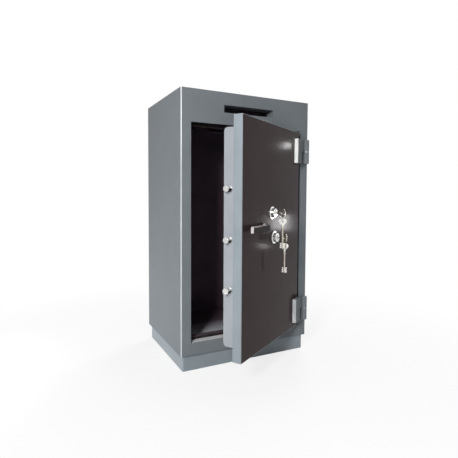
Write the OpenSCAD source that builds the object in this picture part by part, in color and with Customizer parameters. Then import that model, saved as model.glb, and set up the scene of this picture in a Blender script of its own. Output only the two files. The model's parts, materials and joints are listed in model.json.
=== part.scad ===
// Deposit safe: a double-walled steel cabinet with a drop slot above its door.
// The door hangs on lift-off hinges and stands ajar. Behind its slab a lever handle throws three
// round bolts, and two key locks block the boltwork.
// Millimetres, +Z up, front towards -Y, origin on the floor at the middle of the plinth.

/* [Cabinet] */
// Width of the cabinet
body_w = 540; // [480:1:600]
// Depth of the cabinet without the door's fittings
body_d = 420; // [340:1:520]
// Height from the floor to the top
body_h = 1000; // [900:1:1200]
// Radius of the cabinet's upright edges
edge_r = 6; // [4:0.5:10]
// Thickness of the outer sheet
skin_t = 3; // [2:0.5:3.5]
// Thickness of the side walls, skins and filling together
side_wall = 38; // [30:1:50]
// Thickness of the top wall
top_wall = 38; // [30:1:42]
// Thickness of the back wall
back_wall = 38; // [30:1:50]
// Thickness of the floor above the plinth
floor_wall = 40; // [30:1:44]
// Thickness of the front wall above the door
header_wall = 45; // [40:1:52]
// Thickness of the inner sheet
liner_t = 2; // [1.5:0.5:3]

/* [Plinth] */
// Height of the plinth
plinth_h = 58; // [40:1:80]
// How far the plinth stands back from the cabinet's sides
plinth_inset = 10; // [5:1:20]
// Thickness of the plinth's sheet
plinth_t = 3; // [2:0.5:4]
// Distance between the floor anchor holes across the cabinet
anchor_x = 300; // [200:1:340]
// Distance between the floor anchor holes front to back
anchor_y = 200; // [120:1:220]
// Radius of the floor anchor holes
anchor_r = 7; // [5:0.5:9]

/* [Doorway] */
// Height of the front above the doorway
rail_top = 115.5; // [110:0.5:140]
// Height of the front below the doorway
rail_bottom = 44.5; // [42:0.5:60]
// Thickness of the doorway's lining
frame_t = 3; // [2:0.5:4]
// Gap between the door slab and the doorway
door_gap = 7.5; // [5:0.5:9]
// Gap between the back of the slab and the door stop
stop_gap = 2; // [1:0.5:3]

/* [Drop slot] */
// Width of the drop slot
slot_w = 210; // [160:1:260]
// Height of the drop slot
slot_h = 27; // [20:1:32]
// Distance from the cabinet's top to the upper edge of the slot
slot_drop = 45; // [44:1:56]
// Thickness of the slot's lining
slot_t = 2; // [1:0.5:3]
// How far the slot's lining reaches into the cabinet
slot_reach = 8; // [4:1:16]
// Distance from the front wall's inside to the fishing guard
guard_gap = 58; // [45:1:90]
// Thickness of the fishing guard
guard_t = 2; // [1.5:0.5:3]
// Width that the fishing guard covers beyond each end of the slot
guard_lap = 20; // [10:1:40]
// Length of the guard's lip towards the front
guard_lip = 20; // [12:1:26]

/* [Door] */
// How far the door stands open
door_open = 32; // [20:1:90]
// Thickness of the door slab
slab_t = 32; // [28:1:36]
// Thickness of the slab's outer sheet
door_skin_t = 2.5; // [2:0.5:3]
// Thickness of the slab's back plate
door_back_t = 4; // [3:0.5:6]
// Thickness of the coloured face panel
face_t = 1.2; // [0.8:0.1:2]
// Width of the slab that shows round the face panel
face_border = 2; // [1.5:0.5:4]
// Radius of the slab's upright front edges
slab_edge_r = 2; // [1:0.5:3]
// How far the boltwork cover stands in from the slab's edge
cover_inset = 31.5; // [30:0.5:36]
// Thickness of the boltwork cover's sheet
cover_t = 2; // [1.5:0.5:3]
// Radius of the cover's upper and lower back edges
cover_r = 12; // [6:1:16]
// Room between the boltwork and the cover's back
cover_room = 5; // [3:0.5:10]
// Radius of the posts that hold the cover
post_r = 6; // [5:0.5:8]
// Distance from the cover's sides to the posts
post_in = 22; // [20:1:28]

/* [Hinges] */
// Height of each hinge
hinge_h = 93; // [80:1:110]
// Radius of the hinge knuckles
knuckle_r = 10; // [9:0.5:11]
// Radius of the hinge pins
hinge_pin_r = 6; // [4:0.5:7]
// Distance from the hinge axis to the cabinet's front
axis_out = 22; // [20:0.5:23]
// Distance from the hinge axis to the cabinet's side
axis_in = 23; // [20:0.5:25]
// Reach of the hinge leaf from the axis over the door
leaf_reach = 69; // [50:1:80]
// Distance from the hinge axis to the near end of the leaf's block
leaf_near = 27; // [26.5:0.5:32]
// Thickness of the hinge leaf
leaf_t = 15; // [14:0.5:16]
// Thickness of the web between the leaf's block and its knuckle
web_t = 6; // [5:0.5:7]
// Reach of the base's foot from the axis towards the door
foot_reach = 13; // [10:0.5:14]
// Distance from the slab's top edge to the upper hinge
hinge_top = 28; // [20:1:90]
// Distance from the slab's bottom edge to the lower hinge
hinge_bottom = 21; // [10:1:90]
// Thickness of the hinge washers
washer_t = 1.5; // [1:0.1:2.5]

/* [Handle] */
// Distance from the slab's free edge to the handle's spindle
handle_in = 123.5; // [118:0.5:128]
// Height of the handle's spindle above the middle of the door
handle_up = 32; // [29:0.5:34]
// Length of the lever from the spindle to its tip
lever_l = 105; // [85:1:110]
// Height of the lever
lever_h = 21; // [18:0.5:26]
// Thickness of the lever
lever_t = 10; // [7:0.5:12]
// Distance from the door's face to the back of the lever
lever_out = 20; // [16:0.5:26]
// Radius of the lever's neck
neck_r = 10; // [8.5:0.5:11]
// Radius of the spindle
spindle_r = 7; // [5:0.5:7.5]
// Radius of the flange round the spindle
spindle_flange_r = 18; // [17:0.5:20]
// Thickness of the flange round the spindle
spindle_flange_t = 3; // [2:0.5:4]
// Radius of the spindle's collar at its front
spindle_collar_r = 14; // [12:0.5:15]
// Height of the spindle's collar above the door's face
spindle_collar_h = 12; // [8:0.5:14]
// Turn of the lever from open to locked
lever_turn = 60; // [50:1:64]

/* [Boltwork] */
// Radius of the bolts
bolt_r = 11; // [9:0.5:11.5]
// Distance between neighbouring bolts
bolt_pitch = 163; // [140:1:180]
// Height of the middle bolt above the middle of the door
bolt_up = -4.5; // [-12:0.5:4]
// Length of bolt that shows when the bolts are drawn back
bolt_show = 19; // [17:0.5:21]
// Chamfer at the tip of the bolts
bolt_chamfer = 2; // [1:0.5:4]
// Width of the bar that carries the bolts
bar_w = 20; // [19:0.5:22]
// Thickness of the tail plate
tail_t = 6; // [5:0.5:7]
// Thickness of the drive arm
arm_t = 7; // [5:0.5:7]
// Radius of the drive pin
drive_pin_r = 5; // [4:0.5:5.5]

/* [Locks] */
// Height of the upper lock above the middle of the door
upper_lock_up = 77.5; // [76.5:0.5:80.5]
// Height of the lower lock above the middle of the door
lower_lock_up = -9; // [-12:0.5:-8]
// Distance from the handle to the upper lock
upper_lock_in = 80.5; // [76.5:0.5:82.5]
// Distance from the handle to the lower lock
lower_lock_in = 98.5; // [96.5:0.5:102.5]
// Radius of the lock roses
rose_r = 22; // [20:0.5:23]
// Thickness of the lock roses
rose_t = 4; // [3:0.5:6]
// Radius of the boss at its front
boss_r = 15; // [14.5:0.1:16]
// Height of the boss above the door's face
boss_h = 15.5; // [12:0.5:18]
// Radius of the lock plug
plug_r = 12; // [11.5:0.1:12.5]
// Width of the lock cases
case_w = 52; // [48:1:54]
// Wall thickness of the lock cases
case_t = 2.5; // [2:0.5:3]
// Width of the lock bolt's tongue
tongue_w = 11; // [8:0.5:12]
// Radius of the circle that the lock's drive pin runs on
lock_crank_r = 8.5; // [8:0.1:9]
// Turn of the key from open to locked
key_turn = 90; // [80:1:96]

/* [Keys] */
// Length of a key
key_l = 100; // [96:1:108]
// Width of the key's bow
bow_w = 28; // [24:0.5:28]
// Length of the key's bow
bow_l = 22; // [20:0.5:22]
// Radius of the bow's two lobes
bow_lobe_r = 8; // [7:0.5:9]
// Width of the bow where it meets the shank
bow_neck_w = 8; // [7:0.5:10]
// Radius of the hole in the bow
bow_hole_r = 4; // [3.5:0.1:4.5]
// Width of the rim between the bow's hole and its end
bow_rim = 5; // [4:0.5:5.5]
// Thickness of the bow and the bit
key_t = 3; // [2:0.5:3]
// Radius of the key's shank
shank_r = 3; // [2.5:0.1:3.2]
// Width of the key's double bit
bit_w = 18; // [15:0.5:18.5]
// Length of the key's bit
bit_l = 18; // [14:0.5:22]
// Length of shank between the collar and the bow
key_neck = 10; // [6:0.5:16]
// Radius of the key rings' wire
ring_wire_r = 0.9; // [0.7:0.1:1]

/* [Clearances] */
// Radial clearance of turning and sliding fits
run_gap = 0.05; // [0.02:0.01:0.1]
// Clearance of pieces that are fixed in a hole
seat_gap = 0.1; // [0.05:0.05:0.3]
// Clearance between moving pieces
move_gap = 0.5; // [0.4:0.1:0.8]
// Clearance of the drive pins in their slots
slot_gap = 0.5; // [0.4:0.1:0.8]
// Play between the thrown bolts and the door stop
bolt_play = 1; // [0.5:0.5:2]
// Gap between the thrown bolts and the cabinet's side
bolt_end_gap = 2; // [1:0.5:3]
// Gap between the drawn bolts and the door stop
stop_clear = 9; // [8:0.5:11]
// Gap between a seated key's bow and the spare key below it
spare_gap = 6; // [4:0.5:8]
// Clearance of the key in its keyway
key_gap = 0.3; // [0.2:0.1:0.5]

/* [Hidden] */
$fn = 64;
eps = 0.5;

// Cabinet planes
front_y = -body_d / 2;
base_z = plinth_h;
door_way_w = body_w - 2 * side_wall;
way_z0 = base_z + rail_bottom;
way_z1 = body_h - rail_top;
room_w = door_way_w;
room_y0 = front_y + header_wall;
room_y1 = body_d / 2 - back_wall;
room_z0 = base_z + floor_wall;
room_z1 = body_h - top_wall;
slot_z1 = body_h - slot_drop;
slot_z0 = slot_z1 - slot_h;
slot_y1 = room_y0 + slot_reach;
guard_y = room_y0 + guard_gap;
guard_w = slot_w + 2 * guard_lap;

// Door planes with the door shut; depths count back from the door's face
axis_x = body_w / 2 - axis_in;
axis_y = front_y - axis_out;
door_w = door_way_w - 2 * door_gap;
door_z0 = way_z0 + door_gap;
door_z1 = way_z1 - door_gap;
door_h = door_z1 - door_z0;
door_mid = (door_z0 + door_z1) / 2;
free_x = -door_w / 2;
cover_w = door_w - 2 * cover_inset;
cover_x0 = free_x + cover_inset;
cover_z0 = door_z0 + cover_inset;
cover_h = door_h - 2 * cover_inset;

// Keys and the depths that follow from them
collar_t = 3;
collar_r = 5;
collar_gap = 0.5;
bow_p = boss_h + collar_gap + collar_t + key_neck;
key_tip_depth = key_l - bow_p - bow_l;
key_end_gap = 1.3;
plug_end_gap = 0.7;
plug_depth = key_tip_depth + key_end_gap;
tail_depth = plug_depth + plug_end_gap;
tail_back = tail_depth + tail_t;
bar_d = 2 * bolt_r;
bolt_depth = tail_back + bolt_r;
bar_back = tail_back + bar_d;
cover_depth = bar_back + cover_room + cover_t;
stop_depth = slab_t + stop_gap;
stop_back = tail_back - bolt_play;

// Boltwork places with the bolts drawn back
tip_room = door_gap + cover_inset - bolt_show;
stop_w = tip_room - stop_clear;
bolt_throw = tip_room - bolt_end_gap;
bolt_zs = [for (i = [-1:1]) door_mid + bolt_up + i * bolt_pitch];
bush_flange_t = 3;
bush_flange_r = bolt_r + 5;
bush_r = bolt_r + 2;
bar_x0 = cover_x0 + cover_t + bush_flange_t + bolt_throw + bolt_end_gap;
bar_x1 = bar_x0 + bar_w;
bar_over = 20;
spigot_r = 7;
spigot_l = 15;

// Handle and drive arm
handle_x = free_x + handle_in;
handle_z = door_mid + handle_up;
crank_r = bolt_throw / (2 * sin(lever_turn / 2));
drive_stud_r = drive_pin_r - 1;
arm_gap = 3.5;
arm_back = tail_depth - arm_gap;
arm_front = arm_back - arm_t;
arm_w = 14;
arm_hub_r = spindle_r + 5;
spindle_bush_r = spindle_r + 4;
spindle_collar_base_r = spindle_flange_r - 2;
spindle_end = 4;
drive_slot_z0 = handle_z + crank_r * cos(lever_turn / 2) - drive_pin_r - slot_gap;
drive_slot_z1 = handle_z + crank_r + drive_pin_r + slot_gap;
drive_pin_x = handle_x + crank_r * sin(lever_turn / 2);

// Locks
upper_lock = [handle_x + upper_lock_in, door_mid + upper_lock_up];
lower_lock = [handle_x + lower_lock_in, door_mid + lower_lock_up];
rose_base_r = rose_r - 5;
sleeve_r = plug_r + 3;
lock_travel = 2 * lock_crank_r * sin(key_turn / 2);
lock_pin_r = 2.5;
case_near = 22;
case_far = 24;
case_back = tail_back + move_gap + case_t;
tail_gap = 2;
tongue_end = case_near - tail_gap;
notch_side_gap = 1;
notch_end_gap = 2;
notch_w = tongue_w + 2 * notch_side_gap;
tail_z0 = lower_lock[1] + case_near + tail_gap;
tail_z1 = upper_lock[1] - case_near - tail_gap;
notch_d = tongue_end + lock_travel - case_near - tail_gap + notch_end_gap;
tail_lug = 10;
lug_side = 8;
keeper_gap = 8;
keeper_x0 = lower_lock[0] + case_w / 2 + keeper_gap;
keeper_w = 12;
keeper_lip = 9;
keeper_t = 4;
tail_over = 4;
tail_x1 = keeper_x0 + keeper_w + bolt_throw + tail_over;

// Key rings and spare keys, measured from a lock's axis
hole_up = bow_l - bow_rim - bow_hole_r;
ring_seat = (bow_w / 2 + bow_rim + 2 * move_gap + spare_gap - bow_hole_r) / 2;
ring_inner_r = sqrt(ring_seat * ring_seat + key_t * key_t / 4);
ring_r = ring_inner_r + ring_wire_r;
ring_p = bow_p + hole_up;
ring_drop = bow_hole_r + ring_seat - move_gap;
spare_top_drop = ring_drop + ring_seat - move_gap - bow_rim;

// Screws
screw_r = 3;
screw_head_r = 5.5;
screw_head_t = 3;
screw_l = 10;
screw_end_gap = 1;
screw_slot_w = 1.2;
case_screw_in = 6;

// Rectangle centred on the origin with round corners
module round_rect(w, d, r) {
    square([w - 2 * r, d], center = true);
    square([w, d - 2 * r], center = true);
    for (x = [-1, 1], y = [-1, 1])
        translate([x * (w / 2 - r), y * (d / 2 - r)])
            circle(r);
}

// Box given by its lowest and highest corners
module box(low, high) {
    translate(low)
        cube(high - low);
}

// The door and all that it carries, swung open about the hinge axis
module on_door() {
    translate([axis_x, axis_y, 0])
        rotate([0, 0, door_open])
            translate([-axis_x, -axis_y, 0])
                children();
}

// Box on the shut door, with depths counted back from its face
module door_box(x0, x1, depth0, depth1, z0, z1) {
    box([x0, front_y + depth0, z0], [x1, front_y + depth1, z1]);
}

// Round bar square to the door's face
module door_round(x, z, depth0, depth1, r) {
    translate([x, front_y + depth1, z])
        rotate([90, 0, 0])
            cylinder(r = r, h = depth1 - depth0);
}

// Holes for the spindle and the locks, through a layer of the slab
module slab_holes(clearance) {
    door_round(handle_x, handle_z, -eps, slab_t + eps, spindle_bush_r + clearance);
    for (lock = [upper_lock, lower_lock])
        door_round(lock[0], lock[1], -eps, slab_t + eps, sleeve_r + clearance);
}

// Floor anchor holes between two heights
module anchor_holes(z0, z1) {
    for (x = [-1, 1], y = [-1, 1])
        translate([x * anchor_x / 2, y * anchor_y / 2, z0])
            cylinder(r = anchor_r, h = z1 - z0);
}

// The doorway lining's outside, which the filling and the liner leave free
module frame_envelope() {
    box([-door_way_w / 2 - frame_t, front_y + skin_t, way_z0 - frame_t],
        [door_way_w / 2 + frame_t, front_y + stop_back, way_z1 + frame_t]);
}

// The slot lining's outside
module slot_envelope(y0, y1) {
    box([-slot_w / 2 - slot_t, y0, slot_z0 - slot_t], [slot_w / 2 + slot_t, y1, slot_z1 + slot_t]);
}

// The liner's outside
module liner_envelope() {
    box([-room_w / 2 - liner_t, room_y0 - liner_t, room_z0 - liner_t],
        [room_w / 2 + liner_t, room_y1 + liner_t, room_z1 + liner_t]);
}

module outer_casing() {
    color("slategray")
    difference() {
        translate([0, 0, base_z])
            linear_extrude(body_h - base_z)
                round_rect(body_w, body_d, edge_r);
        translate([0, 0, base_z + skin_t])
            linear_extrude(body_h - base_z - 2 * skin_t)
                round_rect(body_w - 2 * skin_t, body_d - 2 * skin_t, edge_r - skin_t);
        box([-body_w / 2 + skin_t, 0, base_z + skin_t],
            [body_w / 2 - skin_t, body_d / 2 + eps, body_h - skin_t]);
        box([-door_way_w / 2, front_y - eps, way_z0], [door_way_w / 2, 0, way_z1]);
        box([-slot_w / 2, front_y - eps, slot_z0], [slot_w / 2, 0, slot_z1]);
        anchor_holes(base_z - eps, base_z + skin_t + eps);
    }
}

module back_plate() {
    color("slategray")
    box([-body_w / 2 + skin_t, body_d / 2 - skin_t, base_z + skin_t],
        [body_w / 2 - skin_t, body_d / 2, body_h - skin_t]);
}

module wall_filling() {
    color("gray")
    difference() {
        union() {
            translate([0, 0, base_z + skin_t])
                linear_extrude(body_h - base_z - 2 * skin_t)
                    round_rect(body_w - 2 * skin_t, body_d - 2 * skin_t, edge_r - skin_t);
            box([-body_w / 2 + skin_t, 0, base_z + skin_t],
                [body_w / 2 - skin_t, body_d / 2 - skin_t, body_h - skin_t]);
        }
        liner_envelope();
        frame_envelope();
        slot_envelope(front_y, room_y0);
        anchor_holes(base_z, room_z0);
    }
}

module inner_liner() {
    color("dimgray")
    difference() {
        liner_envelope();
        box([-room_w / 2, room_y0, room_z0], [room_w / 2, room_y1, room_z1]);
        frame_envelope();
        slot_envelope(front_y, 0);
        anchor_holes(room_z0 - liner_t - eps, room_z0 + eps);
    }
}

module door_frame() {
    color("slategray")
    difference() {
        frame_envelope();
        box([-door_way_w / 2, front_y, way_z0], [door_way_w / 2, front_y + stop_depth, way_z1]);
        box([-door_way_w / 2 + stop_w, front_y, way_z0 + stop_w],
            [door_way_w / 2 - stop_w, 0, way_z1 - stop_w]);
    }
}

module plinth() {
    plinth_w = body_w - 2 * plinth_inset;
    plinth_d = body_d - 2 * plinth_inset;
    color("slategray")
    difference() {
        linear_extrude(plinth_h)
            round_rect(plinth_w, plinth_d, edge_r);
        translate([0, 0, plinth_t])
            linear_extrude(plinth_h)
                round_rect(plinth_w - 2 * plinth_t, plinth_d - 2 * plinth_t, edge_r - plinth_t);
        anchor_holes(-eps, plinth_t + eps);
    }
}

module slot_lining() {
    color("slategray")
    difference() {
        slot_envelope(front_y + skin_t, slot_y1);
        box([-slot_w / 2, front_y, slot_z0], [slot_w / 2, slot_y1 + eps, slot_z1]);
    }
}

// Bent sheet behind the slot: a hanging plate with a flange above and a lip towards the front
module fishing_guard() {
    guard_h = room_z1 - slot_z0 + 2 * guard_lip;
    flange = 20;
    lip_up = guard_t * (sqrt(2) - 1);
    color("dimgray")
    translate([-guard_w / 2, guard_y, room_z1])
        rotate([90, 0, 90])
            linear_extrude(guard_w)
                polygon([
                    [0, 0], [flange, 0], [flange, -guard_t], [guard_t, -guard_t],
                    [guard_t, -guard_h - lip_up], [-guard_lip, -guard_h - lip_up - guard_lip - guard_t],
                    [-guard_lip - guard_t, -guard_h - lip_up - guard_lip], [0, -guard_h]
                ]);
}

// Lower knuckle with the block that is welded to the cabinet's front
module hinge_base(z0) {
    base_h = (hinge_h - washer_t) / 2;
    foot_t = axis_out / 2;
    color("slategray")
    difference() {
        union() {
            translate([axis_x, axis_y, z0])
                cylinder(r = knuckle_r, h = base_h);
            box([axis_x - foot_reach, front_y - foot_t, z0], [axis_x + knuckle_r, front_y, z0 + base_h]);
            box([axis_x - knuckle_r, axis_y, z0], [axis_x + knuckle_r, front_y, z0 + base_h]);
        }
        translate([axis_x, axis_y, z0 + washer_t])
            cylinder(r = hinge_pin_r + run_gap, h = base_h);
    }
}

module hinge_pin(z0) {
    color("silver")
    translate([axis_x, axis_y, z0 + washer_t])
        cylinder(r = hinge_pin_r, h = hinge_h - 3 * washer_t);
}

module hinge_washer(z0) {
    color("silver")
    translate([axis_x, axis_y, z0 + (hinge_h - washer_t) / 2])
        difference() {
            cylinder(r = knuckle_r - move_gap, h = washer_t);
            translate([0, 0, -eps])
                cylinder(r = hinge_pin_r + run_gap, h = washer_t + 2 * eps);
        }
}

// Upper knuckle with the leaf that is welded to the door's face over the whole hinge height
module hinge_leaf(z0) {
    leaf_z0 = z0 + (hinge_h + washer_t) / 2 + run_gap;
    leaf_h = z0 + hinge_h - leaf_z0;
    color("slategray")
    on_door()
        difference() {
            union() {
                translate([axis_x, axis_y, leaf_z0])
                    cylinder(r = knuckle_r, h = leaf_h);
                door_box(axis_x - leaf_reach, axis_x - leaf_near, -leaf_t, 0, z0, z0 + hinge_h);
                door_box(axis_x - leaf_near - eps, axis_x, -leaf_t, web_t - leaf_t,
                         leaf_z0, leaf_z0 + leaf_h);
            }
            translate([axis_x, axis_y, leaf_z0 - eps])
                cylinder(r = hinge_pin_r + run_gap, h = leaf_h - washer_t + eps);
        }
}

upper_hinge_z = door_z1 - hinge_top - hinge_h;
lower_hinge_z = door_z0 + hinge_bottom;

module upper_hinge_base() { hinge_base(upper_hinge_z); }
module upper_hinge_pin() { hinge_pin(upper_hinge_z); }
module upper_hinge_washer() { hinge_washer(upper_hinge_z); }
module upper_hinge_leaf() { hinge_leaf(upper_hinge_z); }
module lower_hinge_base() { hinge_base(lower_hinge_z); }
module lower_hinge_pin() { hinge_pin(lower_hinge_z); }
module lower_hinge_washer() { hinge_washer(lower_hinge_z); }
module lower_hinge_leaf() { hinge_leaf(lower_hinge_z); }

// Outline of the slab from above, with its two front edges rounded
module slab_outline(depth) {
    translate([0, front_y + face_t])
        difference() {
            translate([0, depth / 2])
                square([door_w, depth], center = true);
            for (side = [-1, 1])
                translate([side * door_w / 2, 0])
                    difference() {
                        square(2 * slab_edge_r, center = true);
                        translate([-side * slab_edge_r, slab_edge_r])
                            circle(slab_edge_r);
                    }
        }
}

module door_skin() {
    skin_depth = slab_t - door_back_t - face_t;
    color("lightslategray")
    on_door()
        difference() {
            translate([0, 0, door_z0])
                linear_extrude(door_h)
                    slab_outline(skin_depth);
            door_box(free_x + door_skin_t, -free_x - door_skin_t, face_t + door_skin_t, slab_t,
                     door_z0 + door_skin_t, door_z1 - door_skin_t);
            slab_holes(seat_gap);
        }
}

module door_face_panel() {
    color([0.24, 0.22, 0.22])
    on_door()
        difference() {
            door_box(free_x + face_border, -free_x - face_border, 0, face_t,
                     door_z0 + face_border, door_z1 - face_border);
            slab_holes(seat_gap);
        }
}

module door_filling() {
    color("gray")
    on_door()
        difference() {
            door_box(free_x + door_skin_t, -free_x - door_skin_t, face_t + door_skin_t,
                     slab_t - door_back_t, door_z0 + door_skin_t, door_z1 - door_skin_t);
            slab_holes(seat_gap);
        }
}

module door_back_plate() {
    color("lightslategray")
    on_door()
        difference() {
            door_box(free_x, -free_x, slab_t - door_back_t, slab_t, door_z0, door_z1);
            slab_holes(seat_gap);
            for (lock = [upper_lock, lower_lock])
                case_screw_holes(lock, slab_t - door_back_t - eps, slab_t + eps);
        }
}

// Side view of the cover, its two back edges rounded; drawn with depth along X and height along Y
module cover_profile(depth, h, r) {
    translate([depth / 2 - r / 2, h / 2])
        square([depth - r, h], center = true);
    translate([depth / 2, h / 2])
        square([depth, h - 2 * r], center = true);
    for (y = [r, h - r])
        translate([depth - r, y])
            circle(r);
}

module cover_block(x0, x1, inset, depth) {
    translate([x0, front_y + slab_t, cover_z0 + inset])
        rotate([90, 0, 90])
            linear_extrude(x1 - x0)
                cover_profile(depth - slab_t, cover_h - 2 * inset, cover_r - inset);
}

// Where the posts and screws of the cover stand
post_spots = [
    for (x = [cover_x0 + cover_w - post_in, cover_x0 + post_in], z = [-1, 0, 1])
        if (x > 0 || z != 0)
            [x, cover_z0 + cover_h / 2 + z * (cover_h / 2 - post_in)]
];

module boltwork_cover() {
    color("lightsteelblue")
    on_door()
        difference() {
            cover_block(cover_x0, cover_x0 + cover_w, 0, cover_depth);
            cover_block(cover_x0 + cover_t, cover_x0 + cover_w - cover_t, cover_t, cover_depth - cover_t);
            door_box(cover_x0 + cover_t, cover_x0 + cover_w - cover_t, slab_t - eps, slab_t + cover_t,
                     cover_z0 + cover_t, cover_z0 + cover_h - cover_t);
            for (z = bolt_zs)
                translate([cover_x0 - eps, front_y + bolt_depth, z])
                    rotate([0, 90, 0])
                        cylinder(r = bush_r + seat_gap, h = cover_t + 2 * eps);
            for (spot = post_spots)
                door_round(spot[0], spot[1], cover_depth - cover_t - eps, cover_depth + eps,
                           screw_r + seat_gap);
        }
}

module cover_posts() {
    color("silver")
    on_door()
        for (spot = post_spots)
            difference() {
                door_round(spot[0], spot[1], slab_t, cover_depth - cover_t, post_r);
                door_round(spot[0], spot[1], cover_depth - cover_t - screw_l - screw_end_gap, cover_depth,
                           screw_r + seat_gap);
            }
}

module cover_screws() {
    color("silver")
    on_door()
        for (spot = post_spots) {
            door_round(spot[0], spot[1], cover_depth - cover_t - screw_l, cover_depth + eps, screw_r);
            difference() {
                door_round(spot[0], spot[1], cover_depth, cover_depth + screw_head_t, screw_head_r);
                door_box(spot[0] - screw_head_r, spot[0] + screw_head_r, cover_depth + screw_head_t / 2,
                         cover_depth + 2 * screw_head_t,
                         spot[1] - screw_slot_w / 2, spot[1] + screw_slot_w / 2);
            }
        }
}

module bolt_bushes() {
    color("silver")
    on_door()
        for (z = bolt_zs)
            translate([cover_x0, front_y + bolt_depth, z])
                rotate([0, 90, 0])
                    difference() {
                        union() {
                            cylinder(r = bush_r, h = cover_t + eps);
                            translate([0, 0, cover_t])
                                cylinder(r = bush_flange_r, h = bush_flange_t);
                        }
                        translate([0, 0, -eps])
                            cylinder(r = bolt_r + run_gap, h = cover_t + bush_flange_t + 2 * eps);
                    }
}

// Strap on the back plate that the tail plate's end slides through
module tail_keeper() {
    color("silver")
    on_door()
        difference() {
            door_box(keeper_x0, keeper_x0 + keeper_w, slab_t, tail_back + move_gap + keeper_t,
                     tail_z0 - keeper_lip, tail_z1 + keeper_lip);
            door_box(keeper_x0 - eps, keeper_x0 + keeper_w + eps, slab_t + keeper_t, tail_back + move_gap,
                     tail_z0 - move_gap, tail_z1 + move_gap);
        }
}

// Bush through the slab, with a flange and a tapered collar on the door's face
module spindle_bush() {
    color("dimgray")
    on_door()
        difference() {
            union() {
                door_round(handle_x, handle_z, -spindle_flange_t, 0, spindle_flange_r);
                translate([handle_x, front_y - spindle_flange_t + eps, handle_z])
                    rotate([90, 0, 0])
                        cylinder(r1 = spindle_collar_base_r, r2 = spindle_collar_r,
                                 h = spindle_collar_h - spindle_flange_t + eps);
                door_round(handle_x, handle_z, -eps, slab_t, spindle_bush_r);
            }
            door_round(handle_x, handle_z, -spindle_collar_h - eps, slab_t + eps, spindle_r + run_gap);
        }
}

module lever_handle() {
    tip_r = 3;
    tip_x = handle_x - lever_l;
    color("silver")
    on_door()
        difference() {
            union() {
                door_round(handle_x, handle_z, -lever_out - eps, -spindle_collar_h - move_gap, neck_r);
                door_round(handle_x, handle_z, -lever_out - lever_t, -lever_out, lever_h / 2);
                door_box(tip_x + tip_r, handle_x, -lever_out - lever_t, -lever_out,
                         handle_z - lever_h / 2, handle_z + lever_h / 2);
                door_box(tip_x, handle_x, -lever_out - lever_t, -lever_out,
                         handle_z - lever_h / 2 + tip_r, handle_z + lever_h / 2 - tip_r);
                for (side = [-1, 1])
                    door_round(tip_x + tip_r, handle_z + side * (lever_h / 2 - tip_r),
                               -lever_out - lever_t, -lever_out, tip_r);
            }
            door_round(handle_x, handle_z, -lever_out - spindle_end, 0, spindle_r + seat_gap);
        }
}

module spindle() {
    color("gray")
    on_door()
        door_round(handle_x, handle_z, -lever_out - spindle_end + seat_gap, arm_back, spindle_r);
}

// Turns a piece of the drive about the spindle to its open position
module drive_turn() {
    translate([handle_x, 0, handle_z])
        rotate([0, lever_turn / 2, 0])
            translate([-handle_x, 0, -handle_z])
                children();
}

module drive_arm() {
    color("dimgray")
    on_door()
        drive_turn()
            difference() {
                union() {
                    door_round(handle_x, handle_z, arm_front, arm_back, arm_hub_r);
                    door_box(handle_x - arm_w / 2, handle_x + arm_w / 2, arm_front, arm_back,
                             handle_z, handle_z + crank_r);
                    door_round(handle_x, handle_z + crank_r, arm_front, arm_back, arm_w / 2);
                }
                door_round(handle_x, handle_z, arm_front - eps, arm_back + eps, spindle_r + seat_gap);
                door_round(handle_x, handle_z + crank_r, arm_front - eps, arm_back + eps,
                           drive_stud_r + seat_gap);
            }
}

module drive_pin() {
    color("silver")
    on_door()
        drive_turn() {
            door_round(handle_x, handle_z + crank_r, arm_front, arm_back + eps, drive_stud_r);
            door_round(handle_x, handle_z + crank_r, arm_back, tail_back, drive_pin_r);
        }
}

// Round bolt along X, with a chamfered tip and a spigot that seats in the bar
module bolt(z) {
    color("silver")
    on_door()
        translate([cover_x0 - bolt_show, front_y + bolt_depth, z])
            rotate([0, 90, 0]) {
                bolt_l = bar_x0 - cover_x0 + bolt_show;
                cylinder(r1 = bolt_r - bolt_chamfer, r2 = bolt_r, h = bolt_chamfer);
                translate([0, 0, bolt_chamfer])
                    cylinder(r = bolt_r, h = bolt_l - bolt_chamfer);
                translate([0, 0, bolt_l - eps])
                    cylinder(r = spigot_r, h = spigot_l + eps);
            }
}

module lower_bolt() { bolt(bolt_zs[0]); }
module middle_bolt() { bolt(bolt_zs[1]); }
module upper_bolt() { bolt(bolt_zs[2]); }

tail_screw_in = 8;
tail_screw_zs = [tail_z0 + tail_screw_in, tail_z1 - tail_screw_in];

module bolt_bar() {
    color("gray")
    on_door()
        difference() {
            door_box(bar_x0, bar_x1, tail_back, bar_back, bolt_zs[0] - bar_over, bolt_zs[2] + bar_over);
            for (z = bolt_zs)
                translate([bar_x0 - eps, front_y + bolt_depth, z])
                    rotate([0, 90, 0])
                        cylinder(r = spigot_r + seat_gap, h = spigot_l + seat_gap + eps);
            for (z = tail_screw_zs)
                door_round((bar_x0 + bar_x1) / 2, z, tail_back - eps, tail_back + screw_l,
                           screw_r + seat_gap);
        }
}

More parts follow.
